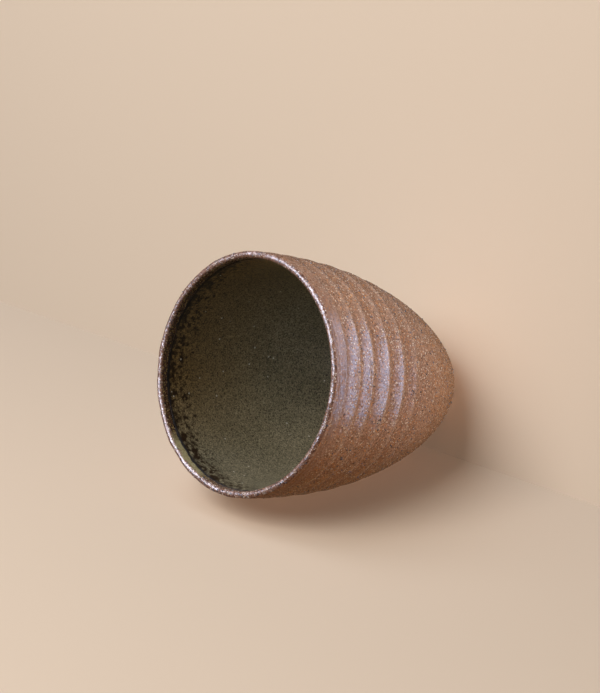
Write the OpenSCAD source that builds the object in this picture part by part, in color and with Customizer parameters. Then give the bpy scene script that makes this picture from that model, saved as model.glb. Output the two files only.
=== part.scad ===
// Stemless wine cup in coarse stoneware, thrown on a wheel and glazed inside.
// It stands on its foot at z = 0, turned about the Z axis, with the lip at cup_h.

/* [Body] */
// Outside diameter of the cup just under the lip
rim_d = 84; // [70:1:100]
// Height of the standing cup, foot to top of the lip
cup_h = 100; // [80:1:125]
// Diameter of the trimmed foot
foot_d = 26; // [20:1:34]
// Worn round on the edge of the foot
foot_edge = 1.2; // [0.5:0.1:2]
// Thickness of the thrown wall
wall_t = 3; // [2.4:0.1:4]
// Thickness of the clay under the bowl of the cup
floor_t = 5; // [4:0.1:8]
// Thickness of the rounded lip
lip_t = 2.4; // [1.8:0.1:3]
// Distance below the lip over which the wall reaches its full thickness
lip_blend = 14; // [8:1:25]
// Height over which the floor of the bowl curves up into the wall
bowl_round = 6; // [4:0.5:10]

/* [Curve of the wall] */
// How upright the upper wall stays before it turns in
wall_power = 2.25; // [1.9:0.05:2.6]
// How full the lower wall is, fuller when smaller
base_power = 0.79; // [0.65:0.01:0.95]

/* [Throwing rings] */
// Spacing of the rings that the fingers left in the wall
ring_pitch = 9.7; // [7:0.1:13]
// Drop from the crest of a ring to the groove beside it
ring_depth = 0.6; // [0.1:0.05:1]
// Distance from the lip down to the first crest
ring_first = 7.1; // [4:0.1:10]
// Distance from the lip down to where the rings have died out
ring_reach = 66; // [45:1:75]
// Lean of each ring, so that it drops faster on the side of the foot
ring_lean = 25; // [0:1:35]

/* [Glaze] */
// Thickness of the glaze on the wall
glaze_t = 0.5; // [0.3:0.05:0.9]
// Distance from the top of the lip down to the edge of the glaze
glaze_stop = 3.6; // [3:0.1:8]
// Distance over which the glaze thins out towards its edge
glaze_feather = 7; // [3:0.5:15]
// Depth of the pool where the glaze ran together in the bottom
pool_t = 1.2; // [0.6:0.1:2]

/* [Hidden] */
$fn = 96;

rim_r = rim_d / 2;
foot_r = foot_d / 2;
lip_r = lip_t / 2;
// Height where the wall ends and the round of the lip begins
shoulder_z = cup_h - lip_r;
// Height of the edge of the glaze
glaze_z = cup_h - glaze_stop;
// The thin edge of the glaze, as a share of its thickness on the wall
glaze_edge = 0.3;
// Crowding of the rings towards the lip, where they stand out most
ring_crowd = 0.8;
// Steps along the wall, its bare strip under the lip, the lip, the floor and the foot's edge
wall_steps = 84;
strip_steps = 4;
lip_steps = 10;
floor_steps = 12;
edge_steps = 4;
// Short height over which the slope of the wall is taken
slope_dz = 0.01;

function smooth(x) = let (c = min(max(x, 0), 1)) c * c * (3 - 2 * c);

// Plain outside radius of the cup at height z: a bullet curve from the foot to the shoulder
function body_r(z) =
    foot_r + (rim_r - foot_r) * pow(1 - pow(1 - z / shoulder_z, wall_power), base_power);

function body_slope(z) =
    let (high = min(z + slope_dz, shoulder_z), low = max(z - slope_dz, 0))
    (body_r(high) - body_r(low)) / (high - low);

// Swell of the throwing rings at height z, strongest in the upper half of the wall
function ring_swell(z) =
    let (
        down = cup_h - z,
        reach = min(max((shoulder_z - z) / (ring_reach - lip_r), 0), 1),
        turn = 360 * (down - ring_first) / ring_pitch,
        phase = turn + ring_lean * (1 - cos(turn))
    )
    ring_depth / 2 * sin(180 * pow(reach, ring_crowd)) * cos(phase);

function outer_point(z) = [body_r(z) + ring_swell(z), z];

// Round of the foot's edge, from the flat (u = 0) to the wall (u = 1)
function foot_point(u) =
    (1 - u) * (1 - u) * [foot_r - foot_edge, 0]
        + 2 * u * (1 - u) * [foot_r, 0]
        + u * u * outer_point(foot_edge);

// Point at depth t under the plain outside, square to the wall at height z
function inner_point(z, t) =
    let (slope = body_slope(z), run = sqrt(1 + slope * slope))
    [body_r(z) - t / run, z + t * slope / run];

function clay_t(z) = lip_t + (wall_t - lip_t) * smooth((shoulder_z - z) / lip_blend);

function lining_t(z) =
    glaze_t * (glaze_edge + (1 - glaze_edge) * smooth((glaze_z - z) / glaze_feather));

function steps(low, high, count) = [for (i = [0 : count]) low + (high - low) * i / count];

foot_round = [for (u = steps(0, 1, edge_steps)) foot_point(u)];
outer_wall = [for (z = steps(foot_edge, shoulder_z, wall_steps)) outer_point(z)];
lip_round = [
    for (i = [1 : lip_steps - 1])
        let (turn = 180 * i / lip_steps)
        [rim_r - lip_r + lip_r * cos(turn), shoulder_z + lip_r * sin(turn)]
];

// Heights along the glazed wall, from where the bowl's floor has curved up into it
glazed_heights = [
    for (z = steps(0, glaze_z, wall_steps))
        if (inner_point(z, clay_t(z)).y > floor_t + bowl_round) z
];
bare_heights = steps(glaze_z, shoulder_z, strip_steps);

// Dished floor at height low in the middle, which meets the wall at point end with its slope
function dish(low, end, slope) =
    let (rise = end.y - low, power = end.x / (slope * rise))
    [for (u = steps(0, 1, floor_steps)) [end.x * u, low + rise * pow(u, power)]];

// Curve of the bowl with its floor at height low, through the first point of wall
function bowl_curve(low, wall) =
    concat(
        dish(low, wall[0], body_slope(glazed_heights[0])),
        [for (i = [1 : len(wall) - 1]) wall[i]]
    );

// Inside of the clay up to the edge of the glaze, and the bare strip from there to the lip
bowl = bowl_curve(floor_t, [for (z = glazed_heights) inner_point(z, clay_t(z))]);
bare_strip = [for (i = [1 : strip_steps]) inner_point(bare_heights[i], clay_t(bare_heights[i]))];

// Face of the glaze, from the middle of its pool up to its edge
lining = bowl_curve(
    floor_t + pool_t, [for (z = glazed_heights) inner_point(z, clay_t(z) + lining_t(z))]
);

function reversed(list) = [for (i = [len(list) - 1 : -1 : 0]) list[i]];

clay_outline = concat(
    [[0, 0]], foot_round, [for (i = [1 : wall_steps]) outer_wall[i]],
    lip_round, reversed(bare_strip), reversed(bowl)
);
glaze_outline = concat(bowl, reversed(lining));

// Thrown wall with its rings, rounded lip, bowl and flat trimmed foot
module clay_body() {
    color("#94715f")
        rotate_extrude()
            polygon(clay_outline);
}

// Glaze inside the bowl, thin at its edge and pooled in the bottom
module glaze_lining() {
    color("#544d38")
        rotate_extrude()
            polygon(glaze_outline);
}

clay_body();
glaze_lining();
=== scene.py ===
# Stemless stoneware wine cup: its thrown wall, its glaze and the grains in its clay, in a plain studio.
import math

import bpy
from mathutils import Matrix, Vector


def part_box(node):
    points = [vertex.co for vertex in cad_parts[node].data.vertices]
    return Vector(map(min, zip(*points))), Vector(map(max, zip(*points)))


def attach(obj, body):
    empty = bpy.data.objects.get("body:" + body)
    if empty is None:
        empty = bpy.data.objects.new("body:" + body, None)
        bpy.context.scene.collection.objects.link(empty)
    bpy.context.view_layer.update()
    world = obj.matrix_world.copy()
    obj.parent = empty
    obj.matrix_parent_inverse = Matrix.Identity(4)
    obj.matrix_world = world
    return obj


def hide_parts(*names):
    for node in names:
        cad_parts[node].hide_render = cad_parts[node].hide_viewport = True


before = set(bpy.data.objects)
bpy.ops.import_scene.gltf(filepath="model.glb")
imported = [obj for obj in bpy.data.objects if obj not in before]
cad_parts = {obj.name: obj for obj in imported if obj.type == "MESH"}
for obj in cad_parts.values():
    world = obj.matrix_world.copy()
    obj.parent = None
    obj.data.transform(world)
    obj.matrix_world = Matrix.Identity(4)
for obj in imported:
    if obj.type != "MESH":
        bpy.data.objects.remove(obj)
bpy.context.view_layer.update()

MM = 0.001
TURN = 2 * math.pi

# Sizes of the cup
CUP_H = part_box("clay_body")[1].z
RIM_R = 42 * MM
FOOT_R = 13 * MM
FOOT_EDGE = 1.2 * MM
WALL_T = 3 * MM
FLOOR_T = 5 * MM
LIP_R = 1.2 * MM
LIP_T = 2 * LIP_R
LIP_BLEND = 14 * MM
SHOULDER_Z = CUP_H - LIP_R
BOWL_ROUND = 6 * MM
WALL_POWER = 2.25
BASE_POWER = 0.79
SLOPE_DZ = 0.01 * MM

# Fine line that was pressed in under the lip: its distance from the top, its width and its depth
LINE_DOWN = 1.9 * MM
LINE_W = 0.5 * MM
LINE_DEPTH = 0.12 * MM

# Sizes of the glaze: it stops below the lip, is thin at that edge and pools in the bottom
GLAZE_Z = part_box("glaze_lining")[1].z
GLAZE_T = 0.5 * MM
GLAZE_FEATHER = 7 * MM
GLAZE_EDGE = 0.08
POOL_T = 1.2 * MM

# Throwing rings: one spiral, closer near the lip, that deepens and then dies out towards the foot. Each
# ring is a hollow that a finger left: it falls fast from one ridge and rises slowly to the next
RING_PITCH = 9.5 * MM
RING_LIP_PITCH = 7 * MM
RING_MAIN = 19.5 * MM
RING_DEPTH = 0.58 * MM
RING_HOLLOW = 0.35
RING_RISE = 32 * MM
RING_FADE = (38 * MM, 62 * MM)

# Band under the lip where fingers wiped the sand flat: its bottom edge, how soft that is, and the share of
# grit that is left there. Stones sit only where the share of grit is above the last value
WIPED_DOWN = 7 * MM
WIPED_SOFT = 3 * MM
WIPED_GRIT = 0.6
GRAINS_ABOVE = 0.85

# The lip sits a little off the middle, to one side, and is lumpy
LIP_OFF = 0.35 * MM
LIP_OFF_TURN = math.radians(97)
LUMP_DEPTH = 0.5 * MM
LUMP_SIZE = 6 * MM
LUMP_REACH = 14 * MM

# How far in on the lip, from its outer edge over its crest at 1 to its inner edge, and on to the glaze at
# LIP_IN + 1: where its own surface starts, its two edges, where the burnt band begins, and the black line
# that ends it. Then the share of grit on the bare strip inside
LIP_SURFACE = 0.4
LIP_OUT = 0.5
LIP_IN = 1.5
BURNT_BAND = (1.55, 1.85)
BLACK_LINE = (2.6, 2.75)
STRIP_GRIT = 0.3

# Sides of the cup: where the lip's inner band is darkest, burnt in the kiln and with painted shade, where
# the glaze is stained and spotted, where the bowl is painted a little darker as shade and lighter opposite,
# and the patch where pale glaze lies thick on the lip
BURNT_SHADED_TURN = math.radians(40)
STAIN_TURN = math.radians(10)
SPOT_TURN = math.radians(68)
SHADED_TURN = math.radians(125)
PATCH_TURN = math.radians(106)
PATCH_REACH = (8 * MM, 13 * MM)

# Clay: spacing of its clouds, its sand and the lines in the wiped band, how deep and how level those are,
# how far its grains lean, and the heights between which it is painted golden towards the foot, as warm
# bounced light
CLAY_CLOUDS = 9 * MM
CLAY_SAND = 0.55 * MM
CLAY_LINES = 0.7 * MM
LINES_DEPTH = 0.05 * MM
LINES_LEVEL = 0.03
CLAY_LEAN = 0.12
WARM_GLOW_HEIGHTS = (50 * MM, 5 * MM)

# Lip: spacing of its blotches and its sand, depth of the blotches, how far its grains lean
LIP_BLOTCHES = 2.2 * MM
LIP_SAND = 0.5 * MM
BLOTCH_DEPTH = 0.2 * MM
LIP_LEAN = 0.35

# Glaze: spacing of its crystals, clouds, blotches and specks of ash, depth of the crystals, how far down
# from its edge it is stained and spotted, its black edge, and the heights between which it darkens towards
# the bottom
GLAZE_CRYSTALS = 0.52 * MM
GLAZE_CLOUDS = 11 * MM
GLAZE_BLOTCHES = 1.7 * MM
ASH_SPACING = 5 * MM
CRYSTAL_DEPTH = 0.1 * MM
STAIN_REACH = 48 * MM
SPOT_REACH = 16 * MM
BLACK_EDGE = (1.2 * MM, 0.3 * MM)
DARKENING_HEIGHTS = (60 * MM, 25 * MM)

# Grains: spacing of the tones within one
GRAIN_TONES = 0.3 * MM

# Steps of the meshes, the radius within which their middle stays plain, and the gap that is merged
AROUND_WALL = 360
AROUND_GLAZE = 320
STEP_FINE = 0.28 * MM
STEP_RINGS = 0.38 * MM
STEP_WALL = 0.75 * MM
STEP_GLAZE = 0.72 * MM
STEP_HIDDEN = 5 * MM
STEP_EDGE = 0.08 * MM
FINE_REACH = 14 * MM
LIP_STEPS = 14
FOOT_STEPS = 5
PLAIN_R = MM / 2
MERGE_GAP = MM / 1000

# The photograph's view: how the cup's axis is turned from the camera and leans on the backdrop, how far
# the camera looks down on that, and where the lip's middle is from it: right, up and towards it. Then the
# focal length and the frame's longer side in pixels, the sensor in millimetres and the reach in metres
VIEW_TURN = math.radians(44.3)
VIEW_LEAN = math.radians(16.9)
VIEW_PITCH = math.radians(18.7)
VIEW_LIP = Vector((-19.64, -9.13, -609.6)) * MM
VIEW_FOCUS_PX = 1800
VIEW_FRAME_PX = 693
SENSOR = 36
VIEW_CLIP = (0.01, 20.0)

# Stage: direction from the standing cup's axis to the backdrop, the backdrop's height and its two sides,
# and half the width of the floor
BACKDROP_TURN = math.radians(225)
BACKDROP_H = 300 * MM
BACKDROP_SIDES = (-260 * MM, 340 * MM)
FLOOR_HALF = 6.0


def linear(code):
    """Linear colour of an sRGB hex code."""
    parts = [int(code[i : i + 2], 16) / 255 for i in (1, 3, 5)]
    return tuple(p / 12.92 if p <= 0.04045 else ((p + 0.055) / 1.055) ** 2.4 for p in parts) + (1.0,)


def add(tree, kind, inputs=None, **settings):
    """Adds a node with its settings. An input, by name or number, takes a value, an output or a whole node.

    A whole node stands for its first output that is in use.
    """
    made = tree.nodes.new(kind)
    for name, value in settings.items():
        setattr(made, name, value)
    for socket, value in (inputs or {}).items():
        if isinstance(value, bpy.types.Node):
            value = next(output for output in value.outputs if output.enabled)
        if isinstance(value, bpy.types.NodeSocket):
            tree.links.new(value, made.inputs[socket])
        else:
            made.inputs[socket].default_value = value
    return made


# The studio's directions in the frame of the standing cup

def studio_axes():
    """Right, up and towards the camera, and the way out of the backdrop, in the cup's own frame."""
    out = Vector((-math.sin(BACKDROP_TURN), math.cos(BACKDROP_TURN), 0))
    axis = Vector((0, 0, 1))
    stood = Matrix((out, axis.cross(out), axis)).transposed()
    lean_out = Vector((0, math.sin(VIEW_LEAN), math.cos(VIEW_LEAN)))
    lean_axis = Vector((0, -math.cos(VIEW_LEAN), math.sin(VIEW_LEAN)))
    leant = Matrix((lean_out, lean_axis.cross(lean_out), lean_axis))
    turn = Matrix.Rotation(VIEW_TURN, 3, "Z")
    right = turn @ Vector((1, 0, 0))
    away = turn @ Vector((0, math.cos(VIEW_PITCH), -math.sin(VIEW_PITCH)))
    up = right.cross(away)
    return [stood @ leant @ v for v in (right, up, -away, Vector((0, 0, 1)))]


RIGHT, UP, TOWARDS, BACKDROP_OUT = studio_axes()
VIEW_AXES = Matrix((RIGHT, UP, TOWARDS)).transposed()
CAMERA_AT = Vector((0, 0, CUP_H)) - VIEW_AXES @ VIEW_LIP
CAMERA_TURN = math.atan2(TOWARDS.y, TOWARDS.x)


def make_camera():
    """The camera, rolled so that the standing cup lies as it does in the photograph."""
    data = bpy.data.cameras.new("camera")
    data.sensor_width = SENSOR
    data.lens = VIEW_FOCUS_PX / VIEW_FRAME_PX * SENSOR
    data.clip_start, data.clip_end = VIEW_CLIP
    made = bpy.data.objects.new("camera", data)
    made.matrix_world = Matrix.Translation(CAMERA_AT) @ VIEW_AXES.to_4x4()
    bpy.context.scene.collection.objects.link(made)
    bpy.context.scene.camera = made


# Profile of the cup, from the foot over the lip and down into the bowl

def smooth(x):
    """Eases from 0 to 1."""
    x = min(max(x, 0), 1)
    return x * x * (3 - 2 * x)


def body_r(z):
    """Plain outside radius at height z: a bullet curve from the foot to the shoulder."""
    return FOOT_R + (RIM_R - FOOT_R) * (1 - max(1 - z / SHOULDER_Z, 0) ** WALL_POWER) ** BASE_POWER


def body_slope(z):
    """How fast the plain radius grows with height."""
    high, low = min(z + SLOPE_DZ, SHOULDER_Z), max(z - SLOPE_DZ, 0)
    return (body_r(high) - body_r(low)) / (high - low)


def inner_point(z, t):
    """Point at depth t under the plain outside, square to the wall at height z."""
    slope = body_slope(z)
    run = math.hypot(1, slope)
    return body_r(z) - t / run, z + t * slope / run


def clay_t(z):
    """Thickness of the clay, thinner towards the lip."""
    return LIP_T + (WALL_T - LIP_T) * smooth((SHOULDER_Z - z) / LIP_BLEND)


def edge_share(z):
    """1 at the edge of the glaze, 0 where the glaze has its full thickness."""
    return 1 - smooth((GLAZE_Z - z) / GLAZE_FEATHER)


def glazed_t(z):
    """Depth of the face of the glaze under the plain outside."""
    return clay_t(z) + GLAZE_T * (1 - (1 - GLAZE_EDGE) * edge_share(z))


def steps(low, high, size):
    """Even steps from low to high, of about that size."""
    count = max(1, round(abs(high - low) / size))
    return [low + (high - low) * i / count for i in range(count + 1)]


def bowl_curve(low, depth, size):
    """The bowl from its dished middle, at height low, up the wall at that depth to the edge of the glaze."""
    heights = [z for z in steps(0, GLAZE_Z, size) if inner_point(z, WALL_T)[1] > FLOOR_T + BOWL_ROUND]
    heights.insert(-1, GLAZE_Z - STEP_EDGE)
    wall = [inner_point(z, depth(z)) for z in heights]
    end_r, end_z = wall[0]
    power = end_r / (body_slope(heights[0]) * (end_z - low))
    dish = [(r, low + (end_z - low) * (r / end_r) ** power) for r in steps(0, end_r, size)]
    return dish + wall[1:]


def row(r, z, ring=0.0, lip=0.0, edge=0.0, grit=0.0):
    """One row of a turned mesh: its place on the profile, and its shares of what the tree adds."""
    down = CUP_H - z
    return {
        "place": (r, 0, z),
        "ring_turn": max(down - RING_MAIN, 0) / RING_PITCH + min(down - RING_MAIN, 0) / RING_LIP_PITCH,
        "ring_share": ring,
        "lip": lip,
        "edge_share": edge,
        "grit_share": grit,
        "off_share": (z / CUP_H) ** 2,
        "lump_share": smooth(1 - down / LUMP_REACH),
    }


def ring_share(z):
    """How deep the rings are at height z, from nothing at the lip and back to nothing towards the foot."""
    down = CUP_H - z
    fade = (down - RING_FADE[0]) / (RING_FADE[1] - RING_FADE[0])
    rise = min(max(down - LIP_R, 0) / RING_RISE, 1)
    return math.sqrt(rise) * (1 - smooth(fade))


def outer_row(z):
    """A row of the outside, with the fine line under the lip and the band that was wiped."""
    down = CUP_H - z
    line = LINE_DEPTH * math.exp(-(((down - LINE_DOWN) / LINE_W) ** 2))
    sandy = smooth((down - WIPED_DOWN + WIPED_SOFT) / (2 * WIPED_SOFT))
    return row(body_r(z) - line, z, ring=ring_share(z), grit=WIPED_GRIT + (1 - WIPED_GRIT) * sandy)


def wall_rows():
    """The clay: foot, outside, lip, bare strip inside it and the hidden bowl under the glaze."""
    flat_r = FOOT_R - FOOT_EDGE
    rows = [row(r, 0) for r in steps(0, flat_r, flat_r / FOOT_STEPS)]
    edge_r = body_r(FOOT_EDGE)
    for i in range(1, FOOT_STEPS):
        u = i / FOOT_STEPS
        r = (1 - u) ** 2 * flat_r + 2 * u * (1 - u) * FOOT_R + u * u * edge_r
        rows.append(row(r, u * u * FOOT_EDGE, grit=u))
    low = steps(FOOT_EDGE, CUP_H - RING_FADE[0], STEP_WALL)
    middle = steps(CUP_H - RING_FADE[0], CUP_H - FINE_REACH, STEP_RINGS)
    high = steps(CUP_H - FINE_REACH, SHOULDER_Z, STEP_FINE)
    rows += [outer_row(z) for z in low + middle[1:] + high[1:]]
    for i in range(1, LIP_STEPS):
        turn = math.pi * i / LIP_STEPS
        r = RIM_R - LIP_R + LIP_R * math.cos(turn)
        rows.append(row(r, SHOULDER_Z + LIP_R * math.sin(turn), lip=LIP_OUT + i / LIP_STEPS, grit=1))
    for z in steps(SHOULDER_Z, GLAZE_Z, STEP_FINE):
        lip = LIP_IN + (SHOULDER_Z - z) / (SHOULDER_Z - GLAZE_Z)
        rows.append(row(*inner_point(z, clay_t(z)), lip=lip, grit=STRIP_GRIT))
    inside = bowl_curve(FLOOR_T, clay_t, STEP_HIDDEN)
    rows += [row(r, z) for r, z in reversed(inside[:-1])]
    return rows


def lining_rows():
    """The glaze: its hidden back against the clay, then its face, from the edge down to the middle."""
    back = bowl_curve(FLOOR_T, clay_t, STEP_HIDDEN)
    face = bowl_curve(FLOOR_T + POOL_T, glazed_t, STEP_GLAZE)
    rows = [row(r, z, edge=edge_share(z)) for r, z in back]
    return rows + [row(r, z, edge=edge_share(z), grit=1) for r, z in reversed(face)]


# Geometry Nodes: a turned piece from its profile, and grains in a surface

ROW_SHARES = ("ring_turn", "ring_share", "lip", "edge_share", "grit_share", "off_share", "lump_share")


def new_tree(name, sockets):
    """A geometry tree with these named inputs; gives the tree, its input node and the inputs' identifiers."""
    tree = bpy.data.node_groups.new(name, "GeometryNodeTree")
    tree.interface.new_socket("Geometry", in_out="INPUT", socket_type="NodeSocketGeometry")
    tree.interface.new_socket("Geometry", in_out="OUTPUT", socket_type="NodeSocketGeometry")
    keys = {}
    for label, kind in sockets:
        keys[label] = tree.interface.new_socket(label, in_out="INPUT", socket_type=kind).identifier
    return tree, tree.nodes.new("NodeGroupInput"), keys


def turned_tree():
    """Turns a profile about the Z axis, with the spiral of rings, an uneven lip, grit and a ragged edge."""
    tree, given, keys = new_tree("turned_on_the_wheel", [
        ("Around", "NodeSocketInt"),
        ("Ring Depth", "NodeSocketFloat"),
        ("Ring Hollow", "NodeSocketFloat"),
        ("Ring Angle", "NodeSocketFloat"),
        ("Lip Off", "NodeSocketFloat"),
        ("Lip Off Angle", "NodeSocketFloat"),
        ("Lump Depth", "NodeSocketFloat"),
        ("Lump Size", "NodeSocketFloat"),
        ("Grit Depth", "NodeSocketFloat"),
        ("Grit Size", "NodeSocketFloat"),
        ("Edge Wave", "NodeSocketFloat"),
        ("Edge Waves", "NodeSocketFloat"),
        ("Seed", "NodeSocketFloat"),
        ("Surface", "NodeSocketMaterial"),
        ("Lip Surface", "NodeSocketMaterial"),
    ])
    value = given.outputs
    profile = value["Geometry"]

    # A grid with one row for each point of the profile: which point, and which angle
    count = add(tree, "GeometryNodeAttributeDomainSize", {"Geometry": profile}).outputs["Point Count"]
    columns = add(tree, "ShaderNodeMath", {0: value["Around"], 1: 1.0}, operation="ADD")
    grid = add(tree, "GeometryNodeMeshGrid", {"Vertices X": columns, "Vertices Y": count})
    index = add(tree, "GeometryNodeInputIndex")
    point = add(tree, "ShaderNodeMath", {0: index, 1: count}, operation="MODULO")
    column = add(tree, "ShaderNodeMath", {0: index, 1: count}, operation="DIVIDE")
    column = add(tree, "ShaderNodeMath", {0: column}, operation="FLOOR")
    turned = add(tree, "ShaderNodeMath", {0: column, 1: value["Around"]}, operation="DIVIDE")
    angle = add(tree, "ShaderNodeMath", {0: turned, 1: TURN}, operation="MULTIPLY")
    spot = add(tree, "GeometryNodeSampleIndex", {
        "Geometry": profile, "Value": add(tree, "GeometryNodeInputPosition"), "Index": point,
    }, data_type="FLOAT_VECTOR")
    spot = add(tree, "ShaderNodeSeparateXYZ", {0: spot})
    share = {}
    for name in ROW_SHARES:
        stored = add(tree, "GeometryNodeInputNamedAttribute", {"Name": name}, data_type="FLOAT")
        share[name] = add(tree, "GeometryNodeSampleIndex", {
            "Geometry": profile, "Value": stored, "Index": point,
        }, data_type="FLOAT")
    cos = add(tree, "ShaderNodeMath", {0: angle}, operation="COSINE")
    sin = add(tree, "ShaderNodeMath", {0: angle}, operation="SINE")
    outward = add(tree, "ShaderNodeCombineXYZ", {"X": cos, "Y": sin})
    height = add(tree, "ShaderNodeCombineXYZ", {"Z": spot.outputs["Z"]})
    plain = add(tree, "ShaderNodeVectorMath", {
        0: outward, 1: add(tree, "ShaderNodeCombineXYZ", {i: spot.outputs["X"] for i in range(3)}), 2: height,
    }, operation="MULTIPLY_ADD")

    # Rings along the spiral: from a ridge down to the hollow's middle, at its share of each turn, and up
    apart = add(tree, "ShaderNodeMath", {0: angle, 1: value["Ring Angle"]}, operation="SUBTRACT")
    apart = add(tree, "ShaderNodeMath", {0: apart, 1: TURN}, operation="DIVIDE")
    along = add(tree, "ShaderNodeMath", {0: share["ring_turn"], 1: apart}, operation="SUBTRACT")
    along = add(tree, "ShaderNodeMath", {0: along}, operation="FRACT")
    fall = add(tree, "ShaderNodeMapRange", {
        "Value": along, "From Min": 0.0, "From Max": value["Ring Hollow"], "To Min": 1.0, "To Max": 0.0,
    })
    rise = add(tree, "ShaderNodeMapRange", {
        "Value": along, "From Min": value["Ring Hollow"], "From Max": 1.0,
    })
    high = add(tree, "ShaderNodeMath", {0: fall, 1: fall}, operation="MULTIPLY")
    high = add(tree, "ShaderNodeMath", {0: rise, 1: rise, 2: high}, operation="MULTIPLY_ADD")
    ring = add(tree, "ShaderNodeMath", {0: high, 1: 2.0, 2: -1.0}, operation="MULTIPLY_ADD")
    ring = add(tree, "ShaderNodeMath", {0: ring, 1: share["ring_share"]}, operation="MULTIPLY")
    half = add(tree, "ShaderNodeMath", {0: value["Ring Depth"], 1: 0.5}, operation="MULTIPLY")
    swell = add(tree, "ShaderNodeMath", {0: ring, 1: half}, operation="MULTIPLY")

    # The lip's place off the middle, its lumps and the grit all move the radius
    off = add(tree, "ShaderNodeMath", {0: angle, 1: value["Lip Off Angle"]}, operation="SUBTRACT")
    off = add(tree, "ShaderNodeMath", {0: off}, operation="COSINE")
    off = add(tree, "ShaderNodeMath", {0: off, 1: value["Lip Off"]}, operation="MULTIPLY")
    often = add(tree, "ShaderNodeMath", {0: 1.0, 1: value["Lump Size"]}, operation="DIVIDE")
    lump = add(tree, "ShaderNodeTexNoise", {"Vector": plain, "Scale": often, "Detail": 2.0})
    lump = add(tree, "ShaderNodeMath", {0: lump, 1: 0.5}, operation="SUBTRACT")
    lump = add(tree, "ShaderNodeMath", {0: lump, 1: value["Lump Depth"]}, operation="MULTIPLY")
    lump = add(tree, "ShaderNodeMath", {0: lump, 1: share["lump_share"]}, operation="MULTIPLY")
    often = add(tree, "ShaderNodeMath", {0: 1.0, 1: value["Grit Size"]}, operation="DIVIDE")
    grit = add(tree, "ShaderNodeTexNoise", {
        "Vector": plain, "W": value["Seed"], "Scale": often, "Detail": 2.0,
    }, noise_dimensions="4D")
    grit = add(tree, "ShaderNodeMath", {0: grit, 1: 0.5}, operation="SUBTRACT")
    grit = add(tree, "ShaderNodeMath", {0: grit, 1: value["Grit Depth"]}, operation="MULTIPLY")
    radius = add(tree, "ShaderNodeMath", {0: swell, 1: lump}, operation="ADD")
    for amount, part in ((off, share["off_share"]), (grit, share["grit_share"])):
        radius = add(tree, "ShaderNodeMath", {0: amount, 1: part, 2: radius}, operation="MULTIPLY_ADD")
    on_wall = add(tree, "ShaderNodeMath", {0: spot.outputs["X"], 1: PLAIN_R}, operation="GREATER_THAN")
    radius = add(tree, "ShaderNodeMath", {
        0: radius, 1: on_wall, 2: spot.outputs["X"],
    }, operation="MULTIPLY_ADD")

    # Ragged edge: waves in the height of the top rows, which follow the lumps too
    ragged = add(tree, "ShaderNodeTexNoise", {
        "Vector": outward, "W": value["Seed"], "Scale": value["Edge Waves"], "Detail": 3.0,
    }, noise_dimensions="4D")
    ragged = add(tree, "ShaderNodeMath", {0: ragged, 1: 0.5}, operation="SUBTRACT")
    ragged = add(tree, "ShaderNodeMath", {0: ragged, 1: value["Edge Wave"]}, operation="MULTIPLY")
    level = add(tree, "ShaderNodeMath", {0: spot.outputs["Z"], 1: lump}, operation="ADD")
    level = add(tree, "ShaderNodeMath", {
        0: ragged, 1: share["edge_share"], 2: level,
    }, operation="MULTIPLY_ADD")
    place = add(tree, "ShaderNodeVectorMath", {
        0: outward,
        1: add(tree, "ShaderNodeCombineXYZ", {i: radius for i in range(3)}),
        2: add(tree, "ShaderNodeCombineXYZ", {"Z": level}),
    }, operation="MULTIPLY_ADD")

    shape = grid.outputs["Mesh"]
    for name, kept in (("ring", ring), ("lip", share["lip"]), ("sandy", share["grit_share"])):
        shape = add(tree, "GeometryNodeStoreNamedAttribute", {
            "Geometry": shape, "Name": name, "Value": kept,
        }, data_type="FLOAT", domain="POINT")
    shape = add(tree, "GeometryNodeSetPosition", {"Geometry": shape, "Position": place})
    shape = add(tree, "GeometryNodeMergeByDistance", {"Geometry": shape, "Distance": MERGE_GAP})
    shape = add(tree, "GeometryNodeSetShadeSmooth", {"Geometry": shape})
    shape = add(tree, "GeometryNodeRealizeInstances", {"Geometry": shape})
    shape = add(tree, "GeometryNodeSetMaterial", {"Geometry": shape, "Material": value["Surface"]})
    lip = add(tree, "GeometryNodeInputNamedAttribute", {"Name": "lip"}, data_type="FLOAT")
    lip = add(tree, "ShaderNodeMath", {0: lip, 1: LIP_SURFACE}, operation="GREATER_THAN")
    shape = add(tree, "GeometryNodeSetMaterial", {
        "Geometry": shape, "Selection": lip, "Material": value["Lip Surface"],
    })
    add(tree, "NodeGroupOutput", {"Geometry": shape})
    return tree, keys


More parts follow.
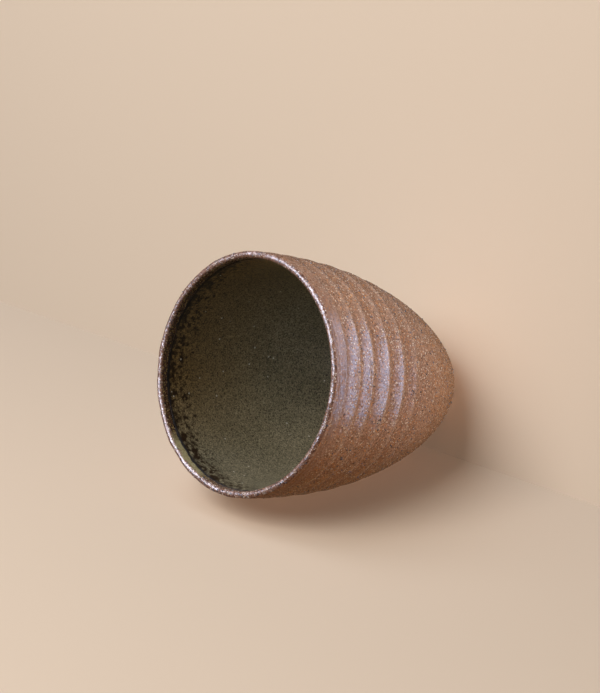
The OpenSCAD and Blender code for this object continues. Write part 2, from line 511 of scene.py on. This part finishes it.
def grains_tree():
    """Small stones, part sunk in the sandy parts of a wall, each with its own tint."""
    tree, given, keys = new_tree("grains_in_the_clay", [
        ("Density", "NodeSocketFloat"),
        ("Least Size", "NodeSocketFloat"),
        ("Most Size", "NodeSocketFloat"),
        ("Sunk", "NodeSocketFloat"),
        ("Seed", "NodeSocketInt"),
        ("Surface", "NodeSocketMaterial"),
    ])
    value = given.outputs
    sandy = add(tree, "GeometryNodeInputNamedAttribute", {"Name": "sandy"}, data_type="FLOAT")
    sandy = add(tree, "ShaderNodeMath", {0: sandy, 1: GRAINS_ABOVE}, operation="GREATER_THAN")
    spread = add(tree, "GeometryNodeDistributePointsOnFaces", {
        "Mesh": value["Geometry"], "Selection": sandy, "Density": value["Density"], "Seed": value["Seed"],
    }, distribute_method="RANDOM")
    inward = add(tree, "ShaderNodeMath", {0: value["Sunk"], 1: -1.0}, operation="MULTIPLY")
    inward = add(tree, "ShaderNodeVectorMath", {
        0: spread.outputs["Normal"], "Scale": inward,
    }, operation="SCALE")
    points = add(tree, "GeometryNodeSetPosition", {"Geometry": spread.outputs["Points"], "Offset": inward})
    tint = add(tree, "FunctionNodeRandomValue", {"Seed": value["Seed"]}, data_type="FLOAT")
    points = add(tree, "GeometryNodeStoreNamedAttribute", {
        "Geometry": points, "Name": "tint", "Value": tint,
    }, data_type="FLOAT", domain="POINT")
    stone = add(tree, "GeometryNodeMeshIcoSphere", {"Radius": 0.5, "Subdivisions": 1})
    tumble = add(tree, "FunctionNodeRandomValue", {
        "Max": (TURN, TURN, TURN), "Seed": value["Seed"],
    }, data_type="FLOAT_VECTOR")
    size = add(tree, "FunctionNodeRandomValue", {
        "Min": add(tree, "ShaderNodeCombineXYZ", {i: value["Least Size"] for i in range(3)}),
        "Max": add(tree, "ShaderNodeCombineXYZ", {i: value["Most Size"] for i in range(3)}),
        "Seed": value["Seed"],
    }, data_type="FLOAT_VECTOR")
    stones = add(tree, "GeometryNodeInstanceOnPoints", {
        "Points": points, "Instance": stone, "Rotation": tumble, "Scale": size,
    })
    shape = add(tree, "GeometryNodeRealizeInstances", {"Geometry": stones})
    shape = add(tree, "GeometryNodeSetMaterial", {"Geometry": shape, "Material": value["Surface"]})
    add(tree, "NodeGroupOutput", {"Geometry": shape})
    return tree, keys


def grown(name, start, tree, keys, values):
    """A plain mesh object that a geometry tree makes from the mesh start."""
    source = bpy.data.objects.new(name + "_start", start)
    bpy.context.scene.collection.objects.link(source)
    maker = source.modifiers.new("maker", "NODES")
    maker.node_group = tree
    for label, value in values.items():
        maker[keys[label]] = value
    graph = bpy.context.evaluated_depsgraph_get()
    mesh = bpy.data.meshes.new_from_object(source.evaluated_get(graph), depsgraph=graph)
    source.modifiers.remove(maker)
    bpy.data.objects.remove(source)
    mesh.name = name
    made = bpy.data.objects.new(name, mesh)
    bpy.context.scene.collection.objects.link(made)
    return made


def profile_mesh(name, rows):
    """Loose points of a profile, with each row's shares as attributes."""
    mesh = bpy.data.meshes.new(name)
    mesh.from_pydata([r["place"] for r in rows], [], [])
    for key in ROW_SHARES:
        mesh.attributes.new(key, "FLOAT", "POINT").data.foreach_set("value", [r[key] for r in rows])
    return mesh


# Materials

# Numbers of the two colours that a mix takes
MIX_A, MIX_B = 6, 7


def new_material(name):
    """An empty material and its tree."""
    made = bpy.data.materials.new(name)
    made.use_nodes = True
    made.node_tree.nodes.clear()
    return made, made.node_tree


def side_of_cup(tree, place, turn):
    """How far a place lies to one side of the cup: 1 at the lip there, 0 on the axis, -1 opposite."""
    to_side = (math.cos(turn) / RIM_R, math.sin(turn) / RIM_R, 0)
    return add(tree, "ShaderNodeVectorMath", {0: place, 1: to_side}, operation="DOT_PRODUCT").outputs["Value"]


def with_grains(tree, colour, chance, shown, grains):
    """The colour with other grains in it: those whose chance, in a channel, is above a share."""
    for channel, share, code in grains:
        picked = add(tree, "ShaderNodeMath", {0: chance[channel], 1: share}, operation="GREATER_THAN")
        picked = add(tree, "ShaderNodeMath", {0: picked, 1: shown}, operation="MULTIPLY")
        colour = add(tree, "ShaderNodeMix", {
            0: picked, MIX_A: colour, MIX_B: linear(code),
        }, data_type="RGBA")
    return colour


def grain_facets(tree, sand, lean, bump):
    """Normal of a surface whose grains each lean their own way."""
    tilt = add(tree, "ShaderNodeVectorMath", {
        0: sand.outputs["Color"], 1: (0.5, 0.5, 0.5),
    }, operation="SUBTRACT")
    facet = add(tree, "ShaderNodeVectorMath", {
        0: tilt, 1: (lean, lean, lean), 2: bump,
    }, operation="MULTIPLY_ADD")
    return add(tree, "ShaderNodeVectorMath", {0: facet}, operation="NORMALIZE")


def gritty_stoneware():
    """Coarse stoneware fired bare: pinkish brown and cloudy, painted browner in the hollows as shade and
    golden near the foot as warm bounced light.

    Its sand is a little glassy, so that each grain is a facet that glints by itself. Fingers laid the sand
    flat under the lip, where the clay is darker, duller and finely lined. The sand is drawn about twice
    its real size, because it wouldn't show otherwise.
    """
    made, tree = new_material("gritty_stoneware")
    place = add(tree, "ShaderNodeTexCoord").outputs["Object"]
    height = add(tree, "ShaderNodeSeparateXYZ", {0: place}).outputs["Z"]
    ring = add(tree, "ShaderNodeAttribute", attribute_name="ring").outputs["Fac"]
    sandy = add(tree, "ShaderNodeAttribute", attribute_name="sandy").outputs["Fac"]
    cloud = add(tree, "ShaderNodeTexNoise", {"Vector": place, "Scale": 1 / CLAY_CLOUDS, "Detail": 3.0})
    sand = add(tree, "ShaderNodeTexVoronoi", {"Vector": place, "Scale": 1 / CLAY_SAND})
    chance = add(tree, "ShaderNodeSeparateColor", {0: sand.outputs["Color"]}).outputs
    flat = add(tree, "ShaderNodeMapping", {"Vector": place, "Scale": (LINES_LEVEL, LINES_LEVEL, 1.0)})
    lines = add(tree, "ShaderNodeTexNoise", {"Vector": flat, "Scale": 1 / CLAY_LINES, "Detail": 2.0})

    colour = add(tree, "ShaderNodeMix", {
        0: cloud, MIX_A: linear("#b49582"), MIX_B: linear("#997662"),
    }, data_type="RGBA")
    # Painted shade browns and darkens the hollows of the rings, and painted warm bounced light makes the foot
    # golden; the wiped band is the clay's own darker brown
    for value, start, end, most, code in (
        (ring, 0.5, -0.6, 0.4, "#8a5a38"),
        (height, *WARM_GLOW_HEIGHTS, 0.6, "#b07a48"),
        (sandy, 1.0, WIPED_GRIT, 0.45, "#84604e"),
    ):
        amount = add(tree, "ShaderNodeMapRange", {
            "Value": value, "From Min": start, "From Max": end, "To Min": 0.0, "To Max": most,
        })
        colour = add(tree, "ShaderNodeMix", {
            0: amount, MIX_A: colour, MIX_B: linear(code),
        }, data_type="RGBA")
    wiped = add(tree, "ShaderNodeMapRange", {
        "Value": sandy, "From Min": 1.0, "From Max": WIPED_GRIT, "To Min": 0.0, "To Max": 0.6,
    })
    grey = add(tree, "ShaderNodeMapRange", {"Value": chance["Red"], "To Min": 0.66, "To Max": 1.34})
    lined = add(tree, "ShaderNodeMapRange", {
        "Value": lines, "From Min": 0.3, "From Max": 0.7, "To Min": 0.7, "To Max": 1.3,
    })
    for shade, amount in ((grey, sandy), (lined, wiped)):
        colour = add(tree, "ShaderNodeMix", {
            0: amount, MIX_A: colour, MIX_B: shade,
        }, data_type="RGBA", blend_type="MULTIPLY")
    near = add(tree, "ShaderNodeMapRange", {
        "Value": sand.outputs["Distance"], "From Min": 0.6, "From Max": 0.3,
    })
    shown = add(tree, "ShaderNodeMath", {0: near, 1: sandy}, operation="MULTIPLY")
    colour = with_grains(tree, colour, chance, shown, (
        ("Green", 0.86, "#ead6c2"),
        ("Blue", 0.88, "#c8803c"),
        ("Red", 0.9, "#3a2a26"),
    ))

    rough = add(tree, "ShaderNodeMapRange", {
        "Value": chance["Blue"], "To Min": 0.16, "To Max": 0.28,
    })
    rough = add(tree, "ShaderNodeMath", {0: wiped, 1: 0.16, 2: rough}, operation="MULTIPLY_ADD")
    bump = add(tree, "ShaderNodeBump", {"Strength": wiped, "Distance": LINES_DEPTH, "Height": lines})
    facet = grain_facets(tree, sand, CLAY_LEAN, bump)
    shader = add(tree, "ShaderNodeBsdfPrincipled", {
        "Base Color": colour, "Roughness": rough, "IOR": 1.5, "Normal": facet,
    })
    add(tree, "ShaderNodeOutputMaterial", {"Surface": shader})
    return made


def burnt_lip_glaze():
    """Thin glaze burnt on the lip: glossy reddish brown, peppered with pale and black grains.

    Inside the crest it is brown-black on the side that burnt most, also painted darker there as shade, with
    golden crystals in it and a black line along its edge. Pale olive glaze lies thick in one patch.
    """
    made, tree = new_material("burnt_lip_glaze")
    place = add(tree, "ShaderNodeTexCoord").outputs["Object"]
    lip = add(tree, "ShaderNodeAttribute", attribute_name="lip").outputs["Fac"]
    blotch = add(tree, "ShaderNodeTexNoise", {"Vector": place, "Scale": 1 / LIP_BLOTCHES, "Detail": 3.0})
    sand = add(tree, "ShaderNodeTexVoronoi", {"Vector": place, "Scale": 1 / LIP_SAND})
    chance = add(tree, "ShaderNodeSeparateColor", {0: sand.outputs["Color"]}).outputs
    near = add(tree, "ShaderNodeMapRange", {
        "Value": sand.outputs["Distance"], "From Min": 0.6, "From Max": 0.35,
    })

    colours = []
    for light, dark, grains in (
        ("#a87f6b", "#5e3c30", (("Green", 0.8, "#f4e8e2"), ("Blue", 0.86, "#1c1618"))),
        ("#7a573f", "#33231a", (("Green", 0.64, "#c9ae70"), ("Blue", 0.88, "#100c0a"))),
    ):
        colour = add(tree, "ShaderNodeMix", {
            0: chance["Red"], MIX_A: linear(light), MIX_B: linear(dark),
        }, data_type="RGBA")
        colours.append(with_grains(tree, colour, chance, near, grains))
    clay, burnt = colours

    # How far in the burnt band begins, raggedly, and how dark it is on this side of the cup: burnt glaze with
    # painted shade
    ragged = add(tree, "ShaderNodeMath", {0: blotch, 1: 0.7, 2: lip}, operation="MULTIPLY_ADD")
    inward = add(tree, "ShaderNodeMapRange", {
        "Value": ragged, "From Min": BURNT_BAND[0], "From Max": BURNT_BAND[1],
    })
    side = side_of_cup(tree, place, BURNT_SHADED_TURN)
    dark = add(tree, "ShaderNodeMapRange", {
        "Value": side, "From Min": -0.5, "From Max": 0.4, "To Min": 0.15, "To Max": 1.0,
    })
    dark = add(tree, "ShaderNodeMath", {0: dark, 1: inward}, operation="MULTIPLY")
    colour = add(tree, "ShaderNodeMix", {0: dark, MIX_A: clay, MIX_B: burnt}, data_type="RGBA")
    reach = add(tree, "ShaderNodeVectorMath", {
        0: place, 1: (RIM_R * math.cos(PATCH_TURN), RIM_R * math.sin(PATCH_TURN), GLAZE_Z),
    }, operation="DISTANCE").outputs["Value"]
    thick = add(tree, "ShaderNodeMapRange", {
        "Value": reach, "From Min": PATCH_REACH[1], "From Max": PATCH_REACH[0],
    })
    thick = add(tree, "ShaderNodeMath", {0: thick, 1: inward}, operation="MULTIPLY")
    olive = add(tree, "ShaderNodeMix", {
        0: blotch, MIX_A: linear("#cfc59a"), MIX_B: linear("#948b64"),
    }, data_type="RGBA")
    colour = add(tree, "ShaderNodeMix", {0: thick, MIX_A: colour, MIX_B: olive}, data_type="RGBA")
    line = add(tree, "ShaderNodeMapRange", {
        "Value": ragged, "From Min": BLACK_LINE[0], "From Max": BLACK_LINE[1],
    })
    colour = add(tree, "ShaderNodeMix", {
        0: line, MIX_A: colour, MIX_B: linear("#150f09"),
    }, data_type="RGBA")

    rough = add(tree, "ShaderNodeMapRange", {"Value": chance["Blue"], "To Min": 0.2, "To Max": 0.5})
    bump = add(tree, "ShaderNodeBump", {"Strength": 0.3, "Distance": BLOTCH_DEPTH, "Height": blotch})
    facet = grain_facets(tree, sand, LIP_LEAN, bump)
    shader = add(tree, "ShaderNodeBsdfPrincipled", {
        "Base Color": colour, "Roughness": rough, "IOR": 1.55, "Normal": facet,
    })
    add(tree, "ShaderNodeOutputMaterial", {"Surface": shader})
    return made


def olive_ash_glaze():
    """Wood-ash glaze: olive, half glossy, finely mottled with crystals, and darker towards the bottom.

    Towards its edge it is stained ochre and spotted brown-black, each most on one side of the cup. A few
    specks of white ash sit in it. One side of the bowl is painted a little darker as shade, and the other a
    little lighter as light.
    """
    made, tree = new_material("olive_ash_glaze")
    place = add(tree, "ShaderNodeTexCoord").outputs["Object"]
    height = add(tree, "ShaderNodeSeparateXYZ", {0: place}).outputs["Z"]
    crystal = add(tree, "ShaderNodeTexNoise", {
        "Vector": place, "Scale": 1 / GLAZE_CRYSTALS, "Detail": 1.0, "Distortion": 0.8,
    })
    cloud = add(tree, "ShaderNodeTexNoise", {"Vector": place, "Scale": 1 / GLAZE_CLOUDS, "Detail": 3.0})
    blotch = add(tree, "ShaderNodeTexNoise", {
        "Vector": place, "Scale": 1 / GLAZE_BLOTCHES, "Detail": 4.0, "Roughness": 0.65,
    })
    ash = add(tree, "ShaderNodeTexVoronoi", {"Vector": place, "Scale": 1 / ASH_SPACING})

    colour = add(tree, "ShaderNodeMix", {
        0: cloud, MIX_A: linear("#989078"), MIX_B: linear("#75705b"),
    }, data_type="RGBA")
    shade = add(tree, "ShaderNodeMapRange", {
        "Value": crystal, "From Min": 0.3, "From Max": 0.7, "To Min": 0.2, "To Max": 1.8,
    })
    lower_darkening = add(tree, "ShaderNodeMapRange", {
        "Value": height, "From Min": DARKENING_HEIGHTS[0], "From Max": DARKENING_HEIGHTS[1],
        "To Min": 1.0, "To Max": 0.8,
    })
    # Painted shade and light: one side of the bowl a little darker, the other a little lighter
    side_shade = side_of_cup(tree, place, SHADED_TURN)
    side_shade = add(tree, "ShaderNodeMapRange", {
        "Value": side_shade, "From Min": 0.1, "From Max": 0.9, "To Min": 1.05, "To Max": 0.97,
    })
    stained = side_of_cup(tree, place, STAIN_TURN)
    stained = add(tree, "ShaderNodeMapRange", {"Value": stained, "From Min": -0.1, "From Max": 0.6})
    stain = add(tree, "ShaderNodeMapRange", {
        "Value": height, "From Min": GLAZE_Z - STAIN_REACH, "From Max": GLAZE_Z,
        "To Min": 0.0, "To Max": 0.85,
    })
    stain = add(tree, "ShaderNodeMath", {0: stain, 1: stained}, operation="MULTIPLY")
    colour = add(tree, "ShaderNodeMix", {
        0: stain, MIX_A: colour, MIX_B: linear("#866b3c"),
    }, data_type="RGBA")
    for amount in (shade, lower_darkening, side_shade):
        colour = add(tree, "ShaderNodeMix", {
            0: 1.0, MIX_A: colour, MIX_B: amount,
        }, data_type="RGBA", blend_type="MULTIPLY")
    side = side_of_cup(tree, place, SPOT_TURN)
    burnt = add(tree, "ShaderNodeMapRange", {"Value": side, "From Min": -1.2, "From Max": 0.2})
    close = add(tree, "ShaderNodeMapRange", {
        "Value": height, "From Min": GLAZE_Z - SPOT_REACH, "From Max": GLAZE_Z,
        "To Min": 0.0, "To Max": 0.27,
    })
    spot = add(tree, "ShaderNodeMath", {0: close, 1: burnt, 2: blotch}, operation="MULTIPLY_ADD")
    spot = add(tree, "ShaderNodeMapRange", {"Value": spot, "From Min": 0.64, "From Max": 0.78})
    colour = add(tree, "ShaderNodeMix", {
        0: spot, MIX_A: colour, MIX_B: linear("#2c1d10"),
    }, data_type="RGBA")
    edge = add(tree, "ShaderNodeMapRange", {
        "Value": height, "From Min": GLAZE_Z - BLACK_EDGE[0], "From Max": GLAZE_Z - BLACK_EDGE[1],
    })
    colour = add(tree, "ShaderNodeMix", {
        0: edge, MIX_A: colour, MIX_B: linear("#1a110a"),
    }, data_type="RGBA")
    speck = add(tree, "ShaderNodeMapRange", {
        "Value": ash.outputs["Distance"], "From Min": 0.075, "From Max": 0.05,
    })
    colour = add(tree, "ShaderNodeMix", {
        0: speck, MIX_A: colour, MIX_B: linear("#e6e4d8"),
    }, data_type="RGBA")
    rough = add(tree, "ShaderNodeMapRange", {"Value": edge, "To Min": 0.28, "To Max": 0.6})
    bump = add(tree, "ShaderNodeBump", {"Strength": 0.25, "Distance": CRYSTAL_DEPTH, "Height": crystal})
    shader = add(tree, "ShaderNodeBsdfPrincipled", {
        "Base Color": colour, "Roughness": rough, "IOR": 1.5, "Normal": bump,
    })
    add(tree, "ShaderNodeOutputMaterial", {"Surface": shader})
    return made


def grain_stone(name, codes, rough):
    """A mineral grain in fired clay, a little glassy: each has its own tint and is uneven in itself."""
    made, tree = new_material(name)
    place = add(tree, "ShaderNodeTexCoord").outputs["Object"]
    tint = add(tree, "ShaderNodeAttribute", attribute_name="tint").outputs["Fac"]
    vein = add(tree, "ShaderNodeTexNoise", {"Vector": place, "Scale": 1 / GRAIN_TONES, "Detail": 1.0})
    colour = add(tree, "ShaderNodeMix", {
        0: tint, MIX_A: linear(codes[0]), MIX_B: linear(codes[1]),
    }, data_type="RGBA")
    shade = add(tree, "ShaderNodeMapRange", {"Value": vein, "To Min": 0.6, "To Max": 1.4})
    colour = add(tree, "ShaderNodeMix", {
        0: 1.0, MIX_A: colour, MIX_B: shade,
    }, data_type="RGBA", blend_type="MULTIPLY")
    shader = add(tree, "ShaderNodeBsdfPrincipled", {"Base Color": colour, "Roughness": rough, "IOR": 1.54})
    add(tree, "ShaderNodeOutputMaterial", {"Surface": shader})
    return made


stoneware = gritty_stoneware()
lip_glaze = burnt_lip_glaze()
ash_glaze = olive_ash_glaze()
grog = grain_stone("fired_grog", ("#d9c4b2", "#b27a4c"), 0.4)
iron = grain_stone("iron_speck", ("#596070", "#2a2628"), 0.3)

# The cup's pieces

make_camera()
turned, turned_keys = turned_tree()
grains, grains_keys = grains_tree()
uneven = {
    "Lip Off": LIP_OFF,
    "Lip Off Angle": LIP_OFF_TURN,
    "Lump Depth": LUMP_DEPTH,
    "Lump Size": LUMP_SIZE,
}
wall = grown("clay_wall", profile_mesh("wall_profile", wall_rows()), turned, turned_keys, {
    **uneven,
    "Around": AROUND_WALL,
    "Ring Depth": RING_DEPTH,
    "Ring Hollow": RING_HOLLOW,
    "Ring Angle": CAMERA_TURN,
    "Grit Depth": 0.016 * MM,
    "Grit Size": 1.3 * MM,
    "Edge Wave": 0.0,
    "Edge Waves": 1.0,
    "Seed": 3.0,
    "Surface": stoneware,
    "Lip Surface": lip_glaze,
})
lining = grown("glaze_inside", profile_mesh("lining_profile", lining_rows()), turned, turned_keys, {
    **uneven,
    "Around": AROUND_GLAZE,
    "Ring Depth": 0.0,
    "Ring Hollow": RING_HOLLOW,
    "Ring Angle": 0.0,
    "Grit Depth": 0.05 * MM,
    "Grit Size": 2.5 * MM,
    "Edge Wave": 1.2 * MM,
    "Edge Waves": 6.0,
    "Seed": 8.0,
    "Surface": ash_glaze,
    "Lip Surface": ash_glaze,
})
grog_grains = grown("grog_grains", wall.data.copy(), grains, grains_keys, {
    "Density": 200000.0,
    "Least Size": 0.25 * MM,
    "Most Size": 0.55 * MM,
    "Sunk": 0.1 * MM,
    "Seed": 5,
    "Surface": grog,
})
iron_specks = grown("iron_specks", wall.data.copy(), grains, grains_keys, {
    "Density": 40000.0,
    "Least Size": 0.5 * MM,
    "Most Size": 0.95 * MM,
    "Sunk": 0.16 * MM,
    "Seed": 11,
    "Surface": iron,
})
cup = bpy.data.collections.new("cup")
bpy.context.scene.collection.children.link(cup)
for piece, slot in (
    (wall, "stoneware"),
    (lining, "ash_glaze"),
    (grog_grains, "stoneware"),
    (iron_specks, "stoneware"),
):
    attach(piece, "root")
    cup.objects.link(piece)
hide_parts("clay_body")
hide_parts("glaze_lining")

# Studio

def studio_light(name, place, size, power, code, shape="RECTANGLE", shine=True, fill=True, lit=None):
    """A soft area of light that faces the cup, placed right, up and towards the camera from its middle.

    Its width runs level and its height upright in the photograph's view. It may shine in the gloss, fill
    the matt colours, or both, and lights everything or one collection.
    """
    data = bpy.data.lights.new(name, "AREA")
    data.shape = shape
    data.size, data.size_y = size
    data.energy = power
    data.color = linear(code)[:3]
    made = bpy.data.objects.new(name, data)
    back = (VIEW_AXES @ Vector(place)).normalized()
    level = UP.cross(back).normalized()
    facing = Matrix((level, back.cross(level), back)).transposed()
    middle = Vector((0, 0, CUP_H / 2)) + VIEW_AXES @ Vector(place)
    made.matrix_world = Matrix.Translation(middle) @ facing.to_4x4()
    made.visible_camera = False
    made.visible_glossy = shine
    made.visible_diffuse = fill
    made.light_linking.receiver_collection = lit
    bpy.context.scene.collection.objects.link(made)


def stage_sheet(name, points, faces, surface):
    """A sheet of paper that lets the studio's lights through, and doesn't shade or tint the cup."""
    mesh = bpy.data.meshes.new(name)
    mesh.from_pydata(points, [], faces)
    mesh.materials.append(surface)
    made = bpy.data.objects.new(name, mesh)
    made.visible_shadow = False
    made.visible_glossy = False
    made.visible_diffuse = False
    stage.objects.link(made)


def make_floor(surface):
    """A wide floor, level with the cup's foot."""
    corners = [(x * FLOOR_HALF, y * FLOOR_HALF, 0) for x, y in ((-1, -1), (1, -1), (1, 1), (-1, 1))]
    stage_sheet("floor", corners, [(0, 1, 2, 3)], surface)


def make_backdrop(surface):
    """Leans on the side of the cup that the photograph's view looks down on, and touches the cup's belly."""
    offset = min(BACKDROP_OUT.dot(v.co) for v in wall.data.vertices)
    out = Vector((BACKDROP_OUT.x, BACKDROP_OUT.y, 0)).normalized()
    along = Vector((0, 0, 1)).cross(out)
    foot = out * offset / math.cos(VIEW_LEAN)
    top = foot + BACKDROP_H * BACKDROP_OUT.cross(along)
    low_side, high_side = BACKDROP_SIDES
    corners = [spot + along * side for spot, side in (
        (foot, low_side), (foot, high_side), (top, high_side), (top, low_side),
    )]
    stage_sheet("backdrop", corners, [(0, 1, 2, 3)], surface)


def pale_paper(code):
    """Matt paper that shows on its face alone, so that the cup can be seen from behind it too."""
    made, tree = new_material("pale_paper")
    matt = add(tree, "ShaderNodeBsdfDiffuse", {"Color": linear(code)})
    clear = add(tree, "ShaderNodeBsdfTransparent")
    back = add(tree, "ShaderNodeNewGeometry").outputs["Backfacing"]
    seen = add(tree, "ShaderNodeMixShader", {0: back, 1: matt, 2: clear})
    add(tree, "ShaderNodeOutputMaterial", {"Surface": seen})
    return made


def stage_wash(power, code):
    """Even light on the paper alone, without shadows, so that the stage is pale from every side."""
    data = bpy.data.lights.new("stage_wash", "SUN")
    data.energy = power
    data.use_shadow = False
    data.color = linear(code)[:3]
    made = bpy.data.objects.new("stage_wash", data)
    made.rotation_euler = (BACKDROP_OUT + Vector((0, 0, 1))).to_track_quat("Z", "Y").to_euler()
    made.light_linking.receiver_collection = stage
    bpy.context.scene.collection.objects.link(made)


stage = bpy.data.collections.new("stage")
bpy.context.scene.collection.children.link(stage)
paper = pale_paper("#efddca")
make_floor(paper)
make_backdrop(paper)

# Each light: its place, its width and height in metres, its power in watts and its colour. The lip strip
# and the ring oval only shine in the gloss
studio_light("overhead", (-0.5, 1.0, 0.2), (0.8, 0.8), 3.8, "#f2f6ff")
studio_light("window", (-0.55, 0.5, 0.7), (0.6, 0.6), 6.4, "#fff9f2")
studio_light("right_side", (0.88, 0.5, 0.25), (0.7, 0.7), 9.6, "#fbfbff", shine=False, lit=cup)
studio_light("warm_fill", (0.75, -0.65, 0.2), (0.9, 0.9), 3.2, "#ffc06c", shine=False, lit=cup)
studio_light("rear_fill", (-0.75, -0.5, -0.45), (0.8, 0.8), 5.0, "#fff0e0", shine=False, lit=cup)
studio_light("lip_strip", (-0.74, 0.42, 0.5), (0.6, 0.9), 44, "#e2e8ff", fill=False, lit=cup)
studio_light("ring_oval", (0.97, 0.1, -0.09), (0.24, 1.5), 5.9, "#a8cdff", "ELLIPSE", fill=False, lit=cup)
stage_wash(0.4, "#fff8ef")

world = bpy.data.worlds.new("soft_studio")
world.use_nodes = True
world.node_tree.nodes["Background"].inputs["Color"].default_value = linear("#ffe0bd")
world.node_tree.nodes["Background"].inputs["Strength"].default_value = 0.066
bpy.context.scene.world = world
bpy.context.scene.view_settings.view_transform = "Standard"
